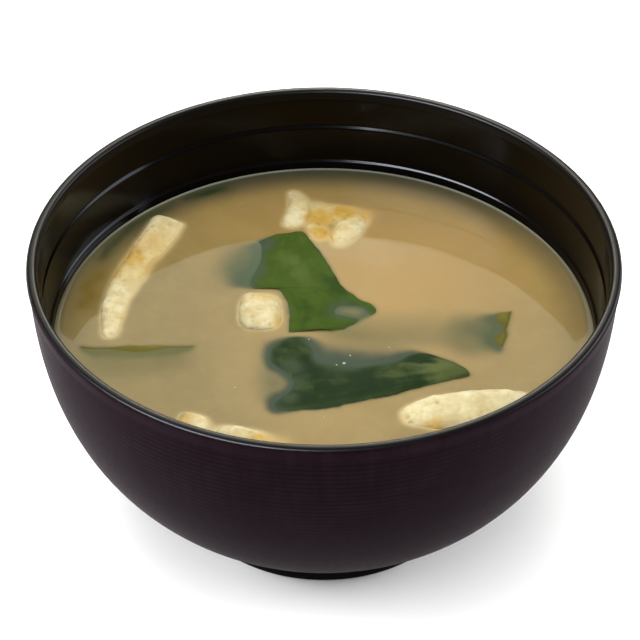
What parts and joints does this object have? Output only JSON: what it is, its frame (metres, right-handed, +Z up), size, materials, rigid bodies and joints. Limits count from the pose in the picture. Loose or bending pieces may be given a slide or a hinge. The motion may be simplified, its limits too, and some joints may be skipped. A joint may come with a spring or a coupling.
{
  "type": "bowl of miso soup",
  "caption": "Cloudy tan miso soup with strips of fried tofu and green wakame, in a deep round black bowl with a glossy inside and a ribbed dark outside on a low foot ring.",
  "frame": {"origin": "centre of the foot ring, on the plane that the bowl stands on", "axes": "+Z up along the bowl's axis, -Y towards the diner"},
  "size_m": [0.1166, 0.1166, 0.0616],
  "materials": {
    "bowl": "glossy black inside, satin purple-black and finely ribbed outside",
    "soup": "cloudy wet liquid",
    "tofu": "porous wet crumb with a golden fried skin",
    "wakame": "slick wet leaf"
  },
  "bodies": {
    "root": {"bowl": "bowl", "soup": "soup", "tofu_left": "tofu", "tofu_middle": "tofu", "tofu_back": "tofu", "tofu_right": "tofu", "tofu_front": "tofu", "wakame_middle": "wakame", "wakame_front": "wakame", "wakame_right": "wakame", "wakame_left": "wakame"}
  },
  "joints": []
}
